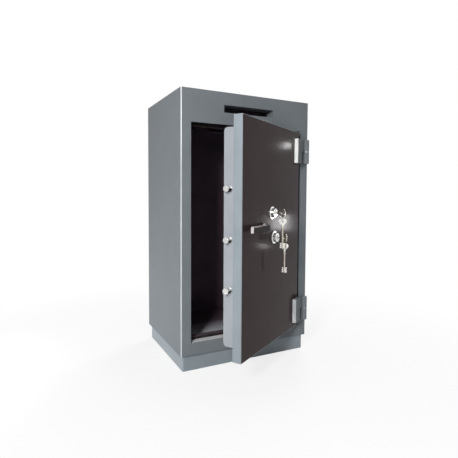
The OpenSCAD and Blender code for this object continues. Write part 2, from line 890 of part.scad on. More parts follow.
// Flat plate from the bar to the locks: a slot for the drive pin and two notches for each lock
module tail_plate() {
    color("gray")
    on_door()
        difference() {
            union() {
                door_box(bar_x0, tail_x1, tail_depth, tail_back, tail_z0, tail_z1);
                door_box(drive_pin_x - drive_pin_r - slot_gap - lug_side,
                         drive_pin_x + drive_pin_r + slot_gap + lug_side,
                         tail_depth, tail_back, tail_z1 - eps, drive_slot_z1 + tail_lug);
            }
            door_box(drive_pin_x - drive_pin_r - slot_gap, drive_pin_x + drive_pin_r + slot_gap,
                     tail_depth - eps, tail_back + eps, drive_slot_z0, drive_slot_z1);
            for (step = [0, 1]) {
                door_box(upper_lock[0] + step * bolt_throw - notch_w / 2,
                         upper_lock[0] + step * bolt_throw + notch_w / 2,
                         tail_depth - eps, tail_back + eps, tail_z1 - notch_d, tail_z1 + eps);
                door_box(lower_lock[0] + step * bolt_throw - notch_w / 2,
                         lower_lock[0] + step * bolt_throw + notch_w / 2,
                         tail_depth - eps, tail_back + eps, tail_z0 - eps, tail_z0 + notch_d);
            }
            for (z = tail_screw_zs)
                door_round((bar_x0 + bar_x1) / 2, z, tail_depth - eps, tail_back + eps, screw_r + seat_gap);
        }
}

module tail_screws() {
    color("silver")
    on_door()
        for (z = tail_screw_zs) {
            door_round((bar_x0 + bar_x1) / 2, z, tail_depth - eps, tail_back + screw_l - screw_end_gap,
                       screw_r);
            door_round((bar_x0 + bar_x1) / 2, z, tail_depth - screw_head_t, tail_depth, screw_head_r);
        }
}

// Rose with a tapered boss outside and a sleeve through the slab
module lock_rose(lock) {
    color("silver")
    on_door()
        difference() {
            union() {
                door_round(lock[0], lock[1], -rose_t, 0, rose_r);
                translate([lock[0], front_y - rose_t + eps, lock[1]])
                    rotate([90, 0, 0])
                        cylinder(r1 = rose_base_r, r2 = boss_r, h = boss_h - rose_t + eps);
                door_round(lock[0], lock[1], -eps, slab_t, sleeve_r);
            }
            door_round(lock[0], lock[1], -boss_h - eps, slab_t + eps, plug_r + run_gap);
        }
}

// Box between the heights near and far on the lock bolt's way; toward is -1 down and +1 up
module lock_box(lock, toward, x0, x1, depth0, depth1, near, far) {
    z_near = lock[1] + toward * near;
    z_far = lock[1] + toward * far;
    door_box(lock[0] + x0, lock[0] + x1, depth0, depth1, min(z_near, z_far), max(z_near, z_far));
}

// Where the four screws of a lock case stand
function case_spots(lock) = [
    for (x = [-1, 1], z = [-1, 1])
        [lock[0] + x * (case_w / 2 - case_screw_in), lock[1] + z * (case_near - case_screw_in)]
];

module case_screw_holes(lock, depth0, depth1) {
    for (spot = case_spots(lock))
        door_round(spot[0], spot[1], depth0, depth1, screw_r + seat_gap);
}

module lock_case(lock, toward) {
    half = case_w / 2;
    color("darkgray")
    on_door()
        difference() {
            lock_box(lock, toward, -half, half, slab_t, case_back, -case_far, case_near);
            lock_box(lock, toward, -half + case_t, half - case_t, slab_t + case_t, case_back - case_t,
                     -case_far + case_t, case_near - case_t);
            lock_box(lock, toward, -tongue_w / 2 - move_gap, tongue_w / 2 + move_gap,
                     tail_depth - move_gap, tail_back + move_gap, 0, case_near + eps);
            door_round(lock[0], lock[1], slab_t - eps, slab_t + case_t + eps, plug_r + run_gap);
            case_screw_holes(lock, slab_t - eps, case_back + eps);
        }
}

// Turning plug with the keyway right through it and the pin that drives the lock bolt
module lock_plug(lock, toward) {
    color("silver")
    on_door()
        difference() {
            union() {
                door_round(lock[0], lock[1], -boss_h, plug_depth, plug_r);
                door_round(lock[0] + lock_crank_r * cos(key_turn / 2),
                           lock[1] - toward * lock_crank_r * sin(key_turn / 2),
                           plug_depth - eps, tail_back, lock_pin_r);
            }
            door_round(lock[0], lock[1], -boss_h - eps, plug_depth + eps, shank_r + key_gap);
            door_box(lock[0] - key_t / 2 - key_gap, lock[0] + key_t / 2 + key_gap, -boss_h - eps,
                     plug_depth + eps, lock[1] - bit_w / 2 - key_gap, lock[1] + bit_w / 2 + key_gap);
        }
}

// Sliding lock bolt: a plate with a cross slot for the plug's pin and a tongue for the tail's notch
module lock_bolt(lock, toward) {
    plate_half = 15;
    slot_wall = 3;
    pin_way = lock_crank_r * sin(key_turn / 2);
    pin_near = lock_crank_r * cos(key_turn / 2);
    slot_half = lock_pin_r + slot_gap;
    plate_far = case_near - case_t - lock_travel - move_gap;
    plate_near = -pin_way - slot_half - slot_wall;
    color("goldenrod")
    on_door()
        difference() {
            union() {
                lock_box(lock, toward, -plate_half, plate_half, tail_depth, tail_back,
                         plate_near, plate_far);
                lock_box(lock, toward, -tongue_w / 2, tongue_w / 2, tail_depth, tail_back, 0, tongue_end);
            }
            lock_box(lock, toward, pin_near - slot_half, lock_crank_r + slot_half, tail_depth - eps,
                     tail_back + eps, -pin_way - slot_half, -pin_way + slot_half);
        }
}

module upper_lock_rose() { lock_rose(upper_lock); }
module upper_lock_case() { lock_case(upper_lock, -1); }
module upper_lock_plug() { lock_plug(upper_lock, -1); }
module upper_lock_bolt() { lock_bolt(upper_lock, -1); }
module lower_lock_rose() { lock_rose(lower_lock); }
module lower_lock_case() { lock_case(lower_lock, 1); }
module lower_lock_plug() { lock_plug(lower_lock, 1); }
module lower_lock_bolt() { lock_bolt(lower_lock, 1); }

// Screws that hold the lock cases on the slab's back plate
module lock_screws() {
    color("silver")
    on_door()
        for (lock = [upper_lock, lower_lock], spot = case_spots(lock)) {
            door_round(spot[0], spot[1], slab_t - door_back_t + seat_gap, case_back + eps, screw_r);
            door_round(spot[0], spot[1], case_back, case_back + screw_head_t, screw_head_r);
        }
}

// Outline of the bow, standing on its neck: two lobes with tangents down to the neck's corners
module bow_outline() {
    lobe_x = bow_w / 2 - bow_lobe_r;
    lobe_y = bow_l - bow_lobe_r;
    reach = norm([lobe_x - bow_neck_w / 2, lobe_y]);
    slope = atan2(lobe_y, lobe_x - bow_neck_w / 2) - asin(bow_lobe_r / reach);
    side_l = sqrt(reach * reach - bow_lobe_r * bow_lobe_r);
    side_x = bow_neck_w / 2 + side_l * cos(slope);
    side_y = side_l * sin(slope);
    for (side = [-1, 1])
        translate([side * lobe_x, lobe_y])
            circle(bow_lobe_r);
    translate([0, lobe_y])
        square([2 * lobe_x, 2 * bow_lobe_r], center = true);
    polygon([
        [-bow_neck_w / 2, 0], [bow_neck_w / 2, 0], [side_x, side_y],
        [lobe_x, lobe_y], [-lobe_x, lobe_y], [-side_x, side_y]
    ]);
}

// Double-bit key standing on its tip, its flat in the XZ plane
module key() {
    notch = 3;
    translate([0, key_t / 2, key_l - bow_l])
        rotate([90, 0, 0])
            linear_extrude(key_t)
                difference() {
                    bow_outline();
                    translate([0, hole_up])
                        circle(bow_hole_r);
                }
    cylinder(r = shank_r, h = key_l - bow_l + bow_rim);
    translate([0, 0, key_l - bow_l - key_neck - collar_t])
        cylinder(r = collar_r, h = collar_t);
    difference() {
        translate([-bit_w / 2, -key_t / 2, 0])
            cube([bit_w, key_t, bit_l]);
        for (side = [-1, 1], step = [0, 1])
            translate([side * bit_w / 2, 0, bit_l * (0.3 + 0.4 * step)])
                cube([(2 + step) * notch / 2, key_t + 2 * eps, notch], center = true);
    }
}

// Key pushed into its lock, with its bow upright
module seated_key(lock) {
    color("gainsboro")
    on_door()
        translate([lock[0], front_y + key_tip_depth, lock[1]])
            rotate([90, 0, 0])
                rotate([0, 0, 90])
                    key();
}

// Ring through the hole in the seated key's bow
module key_ring(lock) {
    color("silver")
    on_door()
        translate([lock[0], front_y - ring_p, lock[1] - ring_drop])
            rotate([90, 0, 0])
                rotate_extrude()
                    translate([ring_r, 0])
                        circle(ring_wire_r);
}

// Spare key that hangs from the ring
module spare_key(lock) {
    color("gainsboro")
    on_door()
        translate([lock[0], front_y - ring_p, lock[1] - spare_top_drop - key_l])
            rotate([0, 0, 90])
                key();
}

module upper_key() { seated_key(upper_lock); }
module upper_key_ring() { key_ring(upper_lock); }
module upper_spare_key() { spare_key(upper_lock); }
module lower_key() { seated_key(lower_lock); }
module lower_key_ring() { key_ring(lower_lock); }
module lower_spare_key() { spare_key(lower_lock); }

outer_casing();
back_plate();
wall_filling();
inner_liner();
door_frame();
plinth();
slot_lining();
fishing_guard();
upper_hinge_base();
upper_hinge_pin();
upper_hinge_washer();
upper_hinge_leaf();
lower_hinge_base();
lower_hinge_pin();
lower_hinge_washer();
lower_hinge_leaf();
door_skin();
door_face_panel();
door_filling();
door_back_plate();
boltwork_cover();
cover_posts();
cover_screws();
bolt_bushes();
tail_keeper();
spindle_bush();
lever_handle();
spindle();
drive_arm();
drive_pin();
upper_bolt();
middle_bolt();
lower_bolt();
bolt_bar();
tail_plate();
tail_screws();
upper_lock_rose();
upper_lock_case();
upper_lock_plug();
upper_lock_bolt();
lower_lock_rose();
lower_lock_case();
lower_lock_plug();
lower_lock_bolt();
lock_screws();
upper_key();
upper_key_ring();
upper_spare_key();
lower_key();
lower_key_ring();
lower_spare_key();
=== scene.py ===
import json
import math

import bpy
from mathutils import Matrix, Vector


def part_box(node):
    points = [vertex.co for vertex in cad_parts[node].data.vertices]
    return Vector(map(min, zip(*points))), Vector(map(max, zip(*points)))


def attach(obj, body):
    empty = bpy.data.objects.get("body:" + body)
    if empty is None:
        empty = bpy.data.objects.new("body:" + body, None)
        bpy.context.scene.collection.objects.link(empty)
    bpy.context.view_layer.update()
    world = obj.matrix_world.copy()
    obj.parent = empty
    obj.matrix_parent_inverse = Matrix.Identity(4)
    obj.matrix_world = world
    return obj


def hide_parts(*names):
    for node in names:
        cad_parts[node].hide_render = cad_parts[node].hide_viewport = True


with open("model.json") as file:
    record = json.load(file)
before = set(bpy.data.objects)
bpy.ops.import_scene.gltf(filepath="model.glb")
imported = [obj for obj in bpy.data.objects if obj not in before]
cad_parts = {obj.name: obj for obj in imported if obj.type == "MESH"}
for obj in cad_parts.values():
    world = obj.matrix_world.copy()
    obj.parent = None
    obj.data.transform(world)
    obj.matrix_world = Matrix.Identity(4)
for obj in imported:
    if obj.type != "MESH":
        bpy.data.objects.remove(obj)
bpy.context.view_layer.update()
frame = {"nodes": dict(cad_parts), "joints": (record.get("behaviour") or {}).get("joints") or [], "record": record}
nodes = frame["nodes"]
joints = {joint["name"]: joint for joint in frame["joints"]}
scene = bpy.context.scene
scene.view_settings.view_transform = "Standard"
mm = 0.001
print("frame loaded:", len(nodes), "nodes")

# The door stands ajar: its pieces are modelled on the shut door, then swung open about the hinges
hingePoint = Vector(joints["door_swing"]["pos_m"])
doorAngle = -math.radians(joints["door_swing"]["range_deg"][0])
swingOpen = (Matrix.Translation(hingePoint) @ Matrix.Rotation(doorAngle, 4, "Z")
             @ Matrix.Translation(-hingePoint))
handleSpot = swingOpen.inverted() @ Vector(joints["handle_turn"]["pos_m"])
lockSpots = {side: swingOpen.inverted() @ Vector(joints[side + "_key_turn"]["pos_m"])
             for side in ("upper", "lower")}


# Small helpers for nodes and colours
def linearColour(hexCode):
    channels = [int(hexCode[at:at + 2], 16) / 255 for at in (1, 3, 5)]
    return [c / 12.92 if c <= 0.04045 else ((c + 0.055) / 1.055) ** 2.4 for c in channels] + [1.0]


def perMm(size):
    return 1 / (size * mm)  # texture scale that gives features of this size


def addNode(tree, kind, settings=None, links=None):
    node = tree.nodes.new(kind)
    for key, value in (settings or {}).items():
        if key == "stops":  # colour ramp: position and hex colour of its two stops
            for element, (position, hexCode) in zip(node.color_ramp.elements, value):
                element.position = position
                element.color = linearColour(hexCode)
        elif isinstance(key, int) or key in node.inputs:
            node.inputs[key].default_value = value
        else:
            setattr(node, key, value)
    for key, output in (links or {}).items():
        tree.links.new(output, node.inputs[key])
    return node


def startMaterial(name, sockets):
    material = bpy.data.materials.new(name)
    material.use_nodes = True
    tree = material.node_tree
    tree.nodes.clear()
    place = addNode(tree, "ShaderNodeTexCoord").outputs["Object"]
    shader = addNode(tree, "ShaderNodeBsdfPrincipled", sockets)
    addNode(tree, "ShaderNodeOutputMaterial", None, {"Surface": shader.outputs["BSDF"]})
    return material, tree, place, shader


# Stoved enamel on sheet steel: sprayed and baked, so it is even in colour with a soft sheen that
# breaks up a little on its orange peel. The peel is about 2 mm on the real sheet and is drawn a
# little coarser, because finer doesn't show.
enamelBuild = {"peelShare": 0.35, "darkAt": 0.45, "lightAt": 0.9, "cloudLow": 0.3, "cloudHigh": 0.7,
               "sheenLow": 0.88, "sheenHigh": 1.12, "dimpleMm": 0.1}


def stovedEnamel(name, look):
    build = enamelBuild
    material, tree, place, shader = startMaterial(name, {
        "IOR": 1.5, "Specular IOR Level": look["specular"]})
    cloud = addNode(tree, "ShaderNodeTexNoise", {"Scale": perMm(look["cloudMm"]), "Detail": 3.0},
                    {"Vector": place})
    peel = addNode(tree, "ShaderNodeTexNoise", {"Scale": perMm(look["peelMm"]), "Detail": 2.0},
                   {"Vector": place})
    blend = addNode(tree, "ShaderNodeMath", {"operation": "MULTIPLY_ADD", 1: build["peelShare"]},
                    {0: peel.outputs["Fac"], 2: cloud.outputs["Fac"]})
    tint = addNode(tree, "ShaderNodeValToRGB", {
        "stops": [(build["darkAt"], look["dark"]), (build["lightAt"], look["light"])]},
        {"Fac": blend.outputs[0]})
    sheen = addNode(tree, "ShaderNodeMapRange", {
        "From Min": build["cloudLow"], "From Max": build["cloudHigh"],
        "To Min": look["roughness"] * build["sheenLow"],
        "To Max": look["roughness"] * build["sheenHigh"]}, {"Value": cloud.outputs["Fac"]})
    dimple = addNode(tree, "ShaderNodeBump", {
        "Strength": look["peel"], "Distance": build["dimpleMm"] * mm},
        {"Height": peel.outputs["Fac"]})
    colour = tint.outputs["Color"]
    if "paintedLight" in look:  # painted light: paler toward the front
        axes = addNode(tree, "ShaderNodeSeparateXYZ", None, {"Vector": place})
        share = addNode(tree, "ShaderNodeMapRange", {
            "From Min": look["paintedLightFront"] * mm, "From Max": look["paintedLightBack"] * mm,
            "To Min": 1.0, "To Max": 0.0}, {"Value": axes.outputs["Y"]})
        paintedLit = addNode(tree, "ShaderNodeMix", {
            "data_type": "RGBA", 7: linearColour(look["paintedLight"])},
            {0: share.outputs["Result"], 6: colour})
        colour = paintedLit.outputs[2]
    tree.links.new(colour, shader.inputs["Base Color"])
    tree.links.new(sheen.outputs["Result"], shader.inputs["Roughness"])
    tree.links.new(dimple.outputs["Normal"], shader.inputs["Normal"])
    return material


# Plated, turned or rolled metal: one colour, broken up by fine handling marks in its shine
metalBuild = {"darkAt": 0.35, "lightAt": 0.65, "marksLow": 0.3, "marksHigh": 0.7, "shineLow": 0.75,
              "shineHigh": 1.3, "scratchMm": 0.05}


def workedMetal(name, look):
    build = metalBuild
    material, tree, place, shader = startMaterial(name, {"Metallic": 1.0})
    stretch = addNode(tree, "ShaderNodeMapping", {"Scale": look["grain"]}, {"Vector": place})
    marks = addNode(tree, "ShaderNodeTexNoise", {"Scale": perMm(look["markMm"]), "Detail": 4.0},
                    {"Vector": stretch.outputs["Vector"]})
    tint = addNode(tree, "ShaderNodeValToRGB", {
        "stops": [(build["darkAt"], look["dark"]), (build["lightAt"], look["light"])]},
        {"Fac": marks.outputs["Fac"]})
    shine = addNode(tree, "ShaderNodeMapRange", {
        "From Min": build["marksLow"], "From Max": build["marksHigh"],
        "To Min": look["roughness"] * build["shineLow"],
        "To Max": look["roughness"] * build["shineHigh"]}, {"Value": marks.outputs["Fac"]})
    scratch = addNode(tree, "ShaderNodeBump", {
        "Strength": look["scratch"], "Distance": build["scratchMm"] * mm},
        {"Height": marks.outputs["Fac"]})
    tree.links.new(tint.outputs["Color"], shader.inputs["Base Color"])
    tree.links.new(shine.outputs["Result"], shader.inputs["Roughness"])
    tree.links.new(scratch.outputs["Normal"], shader.inputs["Normal"])
    return material


# Poured concrete: grey and matt, with sand and small stones
def pouredConcrete(name, look):
    material, tree, place, shader = startMaterial(name, {"Roughness": look["roughness"]})
    stones = addNode(tree, "ShaderNodeTexVoronoi", {"Scale": perMm(look["stoneMm"])},
                     {"Vector": place})
    sand = addNode(tree, "ShaderNodeTexNoise", {"Scale": perMm(look["sandMm"]), "Detail": 6.0},
                   {"Vector": place})
    mixed = addNode(tree, "ShaderNodeMath", {"operation": "MULTIPLY_ADD", 1: look["stoneShare"]},
                    {0: stones.outputs["Distance"], 2: sand.outputs["Fac"]})
    tint = addNode(tree, "ShaderNodeValToRGB", {
        "stops": [(look["darkAt"], look["dark"]), (look["lightAt"], look["light"])]},
        {"Fac": mixed.outputs[0]})
    grit = addNode(tree, "ShaderNodeBump", {
        "Strength": look["grit"], "Distance": look["gritMm"] * mm}, {"Height": mixed.outputs[0]})
    tree.links.new(tint.outputs["Color"], shader.inputs["Base Color"])
    tree.links.new(grit.outputs["Normal"], shader.inputs["Normal"])
    return material


enamelLooks = {
    # blue-grey cabinet paint
    "grey_paint": {"dark": "#71767A", "light": "#767C80", "roughness": 0.35, "specular": 0.02,
                   "cloudMm": 90, "peelMm": 3, "peel": 0.04},
    # the same paint on the door's edge and the plinth, painted a little paler as painted light where these faces
    # catch more light
    "door_edge_paint": {"dark": "#80898F", "light": "#889197", "roughness": 0.4, "specular": 0.3,
                        "cloudMm": 90, "peelMm": 3, "peel": 0.1},
    # brown-black door paint, smoother and darker
    "door_face_paint": {"dark": "#392D2E", "light": "#403334", "roughness": 0.12, "specular": 0.045,
                        "cloudMm": 120, "peelMm": 3, "peel": 0.02},
    # dull brown-black paint inside, in the light a dusky plum; also used as painted shade on the doorway's stop
    "inside_paint": {"dark": "#53474F", "light": "#5D505A", "roughness": 0.6, "specular": 0.1,
                     "cloudMm": 80, "peelMm": 3, "peel": 0.15},
    # the same on the floor inside, painted pale toward the doorway as a pool of painted light
    "floor_painted_light": {"dark": "#53474F", "light": "#5D505A", "roughness": 0.6, "specular": 0.1,
                      "cloudMm": 80, "peelMm": 3, "peel": 0.15, "paintedLight": "#CDD2D8",
                      "paintedLightFront": -150, "paintedLightBack": 10},
    # pale grey boltwork cover
    "cover_paint": {"dark": "#8B9095", "light": "#959A9F", "roughness": 0.4, "specular": 0.5,
                    "cloudMm": 90, "peelMm": 3, "peel": 0.12},
    # black oxide with an oiled sheen, also used as painted shade in the doorway and under the bolts
    "dark_steel": {"dark": "#2A2525", "light": "#332D2D", "roughness": 0.4, "specular": 0.03,
                   "cloudMm": 20, "peelMm": 1.5, "peel": 0.1},
    # pale paint as a painted highlight on the door sill and the upper hinge's end
    "painted_highlight_pale": {"dark": "#E2E4E4", "light": "#F0F1F0", "roughness": 0.4, "specular": 0.4,
                     "cloudMm": 30, "peelMm": 3, "peel": 0.15},
    # painted highlight on the upright edge by the door and the lower hinge's end
    "painted_highlight_edge": {"dark": "#AEB2B5", "light": "#C6C9CB", "roughness": 0.25, "specular": 0.5,
                    "cloudMm": 60, "peelMm": 3, "peel": 0.05},
    # the lever's pale top and tip, a painted highlight on the blackened lever
    "lever_steel": {"dark": "#AFABAA", "light": "#BCB8B7", "roughness": 0.35, "specular": 0.3,
                    "cloudMm": 15, "peelMm": 2, "peel": 0.1},
}
metalLooks = {
    # turned and plated bolts and pins
    "bright_steel": {"dark": "#C4C4C2", "light": "#DADAD8", "roughness": 0.25, "markMm": 2,
                     "grain": (1, 1, 1), "scratch": 0.1},
    # rolled strip, oiled
    "raw_steel": {"dark": "#77777A", "light": "#929294", "roughness": 0.42, "markMm": 3,
                  "grain": (1, 1, 0.15), "scratch": 0.25},
    # zinc plate, faintly clouded
    "zinc_steel": {"dark": "#A9ABAE", "light": "#C4C6C8", "roughness": 0.36, "markMm": 4,
                   "grain": (1, 1, 1), "scratch": 0.15},
    # polished chrome on the lock roses
    "lock_chrome": {"dark": "#CDCDCB", "light": "#E2E2E0", "roughness": 0.12, "markMm": 1.5,
                    "grain": (1, 1, 1), "scratch": 0.05},
    # turned brass, slightly dull
    "brass": {"dark": "#A98A4C", "light": "#C3A462", "roughness": 0.3, "markMm": 2,
              "grain": (1, 1, 1), "scratch": 0.1},
    # nickel plate on the keys in the locks, polished by hands
    "key_nickel": {"dark": "#C9C5BC", "light": "#DEDBD2", "roughness": 0.2, "markMm": 1.2,
                   "grain": (1, 1, 1), "scratch": 0.12},
    # the same plate on the spare keys, tumbled rougher and painted pale as a painted highlight
    "spare_nickel_highlit": {"dark": "#EAE8E3", "light": "#F8F7F3", "roughness": 0.5, "markMm": 1.2,
                     "grain": (1, 1, 1), "scratch": 0.12},
    # and darker and duller along their shanks
    "shank_nickel": {"dark": "#A8A094", "light": "#BDB5A8", "roughness": 0.45, "markMm": 1.2,
                     "grain": (1, 1, 0.3), "scratch": 0.12},
    # drawn spring wire
    "ring_wire": {"dark": "#B4B4B2", "light": "#CFCFCD", "roughness": 0.22, "markMm": 0.8,
                  "grain": (1, 1, 1), "scratch": 0.08},
}
concreteLook = {"dark": "#8C8A86", "light": "#B0AEA9", "darkAt": 0.35, "lightAt": 0.9, "stoneMm": 9,
                "stoneShare": 0.4, "sandMm": 2, "roughness": 0.9, "grit": 0.4, "gritMm": 0.4}

finishes = {slotName: stovedEnamel("stovedEnamel_" + slotName, look)
            for slotName, look in enamelLooks.items()}
finishes.update({slotName: workedMetal("workedMetal_" + slotName, look)
                 for slotName, look in metalLooks.items()})
finishes["concrete_fill"] = pouredConcrete("pouredConcrete", concreteLook)

slotOf = {entry["node"]: entry["material_slot"] for entry in frame["record"]["subparts"]}
bodyOf = {name: body for body, names in frame["record"]["behaviour"]["bodies"].items()
          for name in names}


def paint(piece, slotName):
    piece.data.materials.clear()
    piece.data.materials.append(finishes[slotName])


for name, node in nodes.items():
    paint(node, slotOf[name])
print("materials made:", len(finishes))


# Helpers for modelling. A face looks straight along an axis when its normal reaches squareOn, and
# mainly along it from mainlyOn. Points are level when they lie within a nudge.
squareOn = 0.99
mainlyOn = 0.5
nudge = 0.1 * mm


def work(piece):
    bpy.ops.object.select_all(action="DESELECT")
    piece.select_set(True)
    bpy.context.view_layer.objects.active = piece


def settle(piece):
    work(piece)
    bpy.ops.object.transform_apply(location=True, rotation=True, scale=True)


def selectFaces(piece, test):
    work(piece)
    bpy.ops.object.mode_set(mode="EDIT")
    bpy.ops.mesh.select_mode(type="FACE")
    bpy.ops.mesh.select_all(action="DESELECT")
    bpy.ops.object.mode_set(mode="OBJECT")
    for face in piece.data.polygons:
        face.select = test(face.center, face.normal)
    bpy.ops.object.mode_set(mode="EDIT")


def selectEdges(piece, test):
    work(piece)
    bpy.ops.object.mode_set(mode="EDIT")
    bpy.ops.mesh.select_mode(type="EDGE")
    bpy.ops.mesh.select_all(action="DESELECT")
    bpy.ops.object.mode_set(mode="OBJECT")
    points = piece.data.vertices
    for edge in piece.data.edges:
        edge.select = test(points[edge.vertices[0]].co, points[edge.vertices[1]].co)
    bpy.ops.object.mode_set(mode="EDIT")


def applyModifier(piece, kind, **settings):
    work(piece)
    modifier = piece.modifiers.new(kind.lower(), kind)
    for key, value in settings.items():
        setattr(modifier, key, value)
    bpy.ops.object.modifier_apply(modifier=modifier.name)


def softenEdges(piece, width, segments=2, angle=35):
    work(piece)
    bpy.ops.object.shade_smooth()
    applyModifier(piece, "BEVEL", width=width * mm, segments=segments, limit_method="ANGLE",
                  angle_limit=math.radians(angle), use_clamp_overlap=True, harden_normals=True)


def finishPiece(piece, name, nodeName):
    piece.name = piece.data.name = name
    paint(piece, slotOf[nodeName])
    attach(piece, bodyOf[nodeName])
    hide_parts(nodeName)
    return piece


def repaintFaces(piece, finishName, test):  # another finish on some of a piece's faces
    piece.data.materials.append(finishes[finishName])
    for face in piece.data.polygons:
        if test(face.center, face.normal):
            face.material_index = len(piece.data.materials) - 1


def hangOnDoor(piece):  # from the shut door's place to the photographed one
    piece.data.transform(swingOpen)


def shutBox(nodeName):  # a door node's corners on the shut door
    points = [swingOpen.inverted() @ vertex.co for vertex in nodes[nodeName].data.vertices]
    return [Vector(pick(point[axis] for point in points) for axis in range(3))
            for pick in (min, max)]


mergeLimits = {"gap": 0.01 * mm, "bend": math.radians(0.5)}


def mergedCopy(nodeName):  # a CAD node's mesh, joined up and with its flat faces whole
    piece = bpy.data.objects.new(nodeName + "_eased", nodes[nodeName].data.copy())
    scene.collection.objects.link(piece)
    work(piece)
    bpy.ops.object.mode_set(mode="EDIT")
    bpy.ops.mesh.select_all(action="SELECT")
    bpy.ops.mesh.customdata_custom_splitnormals_clear()
    bpy.ops.mesh.remove_doubles(threshold=mergeLimits["gap"])
    bpy.ops.mesh.dissolve_limited(angle_limit=mergeLimits["bend"])
    bpy.ops.object.mode_set(mode="OBJECT")
    return piece


# Sheets and blocks keep their CAD form, with sharp edges eased as by folding or grinding.
# Radius of the eased edges of each, in mm
easedEdges = {
    "outer_casing": 1.2, "back_plate": 0.5, "inner_liner": 0.5, "door_frame": 0.6, "plinth": 1.0,
    "slot_lining": 0.5, "fishing_guard": 0.3, "upper_hinge_base": 0.8, "lower_hinge_base": 0.8,
    "upper_hinge_leaf": 1.2, "lower_hinge_leaf": 1.2, "door_skin": 0.5, "door_face_panel": 0.3,
    "door_back_plate": 0.6, "boltwork_cover": 0.8, "cover_screws": 0.2, "spindle_bush": 0.6,
    "bolt_bushes": 0.4, "upper_lock_plug": 0.3, "lower_lock_plug": 0.3, "upper_key": 0.4,
    "lower_key": 0.4, "upper_spare_key": 0.4, "lower_spare_key": 0.4,
}
easedPieces = {}
for nodeName, width in easedEdges.items():
    piece = mergedCopy(nodeName)
    softenEdges(piece, width)
    easedPieces[nodeName] = finishPiece(piece, nodeName + "_eased", nodeName)
print("eased pieces:", len(easedEdges))

# Doorway: painted shade behind the sill and overhead, a painted highlight on the sill top, and a pool of painted
# light on the floor behind
sill = {"behind": 20, "height": 6, "stop": 30, "floor": 20, "middle": 100, "lookUp": 0.2}
doorFrame = easedPieces["door_frame"]
frameLow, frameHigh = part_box("door_frame")
halfway = (frameLow.z + frameHigh.z) / 2
sillTop = min(face.center.z for face in doorFrame.data.polygons
              if face.normal.z > squareOn and abs(face.center.x) < sill["middle"] * mm)
sillBack = frameLow.y + sill["behind"] * mm
stopTop = sillTop + sill["stop"] * mm
# painted shade: faces behind the sill and faces looking down overhead are painted dark
repaintFaces(doorFrame, "dark_steel", lambda centre, normal: (
    centre.y > sillBack or (normal.z < -mainlyOn and centre.z > halfway)))
# painted shade on the stop behind the sill
repaintFaces(doorFrame, "inside_paint",
             lambda centre, normal: centre.y > sillBack and centre.z < stopTop)
# painted highlight: the sill's top is painted pale
repaintFaces(doorFrame, "painted_highlight_pale", lambda centre, normal: (
    normal.z > sill["lookUp"] and abs(centre.z - sillTop) < sill["height"] * mm
    and centre.y < sillBack))
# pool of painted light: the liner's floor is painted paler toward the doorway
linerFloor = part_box("inner_liner")[0].z + sill["floor"] * mm
repaintFaces(easedPieces["inner_liner"], "floor_painted_light",
             lambda centre, normal: normal.z > mainlyOn and centre.z < linerFloor)

# Painted highlights on the hinge ends and the upright edge, a plinth painted paler as painted light, and spare
# keys painted pale as a painted highlight, darker along their shanks
leafEnd = {"deep": 3, "lookOut": -0.6}
spareKey = {"bit": 18, "bow": 26}
cornerLook = -0.45
for side, finishName in (("upper", "painted_highlight_pale"), ("lower", "painted_highlight_edge")):
    keyLow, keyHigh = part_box(side + "_spare_key")
    # the spare keys painted pale as a painted highlight, darker along their shanks
    repaintFaces(easedPieces[side + "_spare_key"], "spare_nickel_highlit", lambda centre, normal: True)
    repaintFaces(easedPieces[side + "_spare_key"], "shank_nickel", lambda centre, normal: (
        keyLow.z + spareKey["bit"] * mm < centre.z < keyHigh.z - spareKey["bow"] * mm))
    leafTip = shutBox(side + "_hinge_leaf")[0].x + leafEnd["deep"] * mm
    # painted highlight on the hinge leaf's left end
    repaintFaces(easedPieces[side + "_hinge_leaf"], finishName, lambda centre, normal: (
        (swingOpen.inverted() @ centre).x < leafTip
        and (swingOpen.to_3x3().inverted() @ normal).x < leafEnd["lookOut"]))
# painted highlight along the rounded upright edge by the door
repaintFaces(easedPieces["outer_casing"], "painted_highlight_edge",
             lambda centre, normal: max(normal.x, normal.y) < cornerLook and centre.x < 0)
# painted light: the plinth is painted a little paler
repaintFaces(easedPieces["plinth"], "door_edge_paint", lambda centre, normal: True)

# Locking bolts: turned bars with a broad chamfer and a centre-drilled end
bolt = {"edge": 0.4, "dimpleRim": 7.5, "dimpleDepth": 1.2, "dimpleShrink": 0.3, "smooth": 30,
        "underside": 0.1}
for nodeName in ("upper_bolt", "middle_bolt", "lower_bolt"):
    piece = mergedCopy(nodeName)
    piece.data.transform(swingOpen.inverted())
    softenEdges(piece, bolt["edge"])
    tip = min(vertex.co.x for vertex in piece.data.vertices)
    selectFaces(piece, lambda centre, normal: normal.x < -squareOn and centre.x < tip + nudge)
    bpy.ops.mesh.inset(thickness=bolt["dimpleRim"] * mm)
    bpy.ops.mesh.extrude_region_move(
        TRANSFORM_OT_translate={"value": (bolt["dimpleDepth"] * mm, 0, 0)})
    bpy.ops.transform.resize(value=(1, bolt["dimpleShrink"], bolt["dimpleShrink"]))
    bpy.ops.object.mode_set(mode="OBJECT")
    bpy.ops.object.shade_smooth_by_angle(angle=math.radians(bolt["smooth"]))
    finishPiece(piece, nodeName + "_turned", nodeName)
    # painted shade: their undersides are painted dark
    repaintFaces(piece, "dark_steel", lambda centre, normal: (
        normal.z < bolt["underside"] and abs(normal.x) < mainlyOn))
    hangOnDoor(piece)

# Lever: a flat bar with a round hub end, on a waisted neck
lever = {"thick": 10, "half": 10.5, "hubRound": 10.4, "tipRound": 3, "roundSteps": 10,
         "neckRadius": 14, "neckSides": 48, "waist": 0.92, "topSlope": 4, "edge": 0.8,
         "edgeSteps": 3, "edgeAngle": 40, "blackFrom": 0.4}
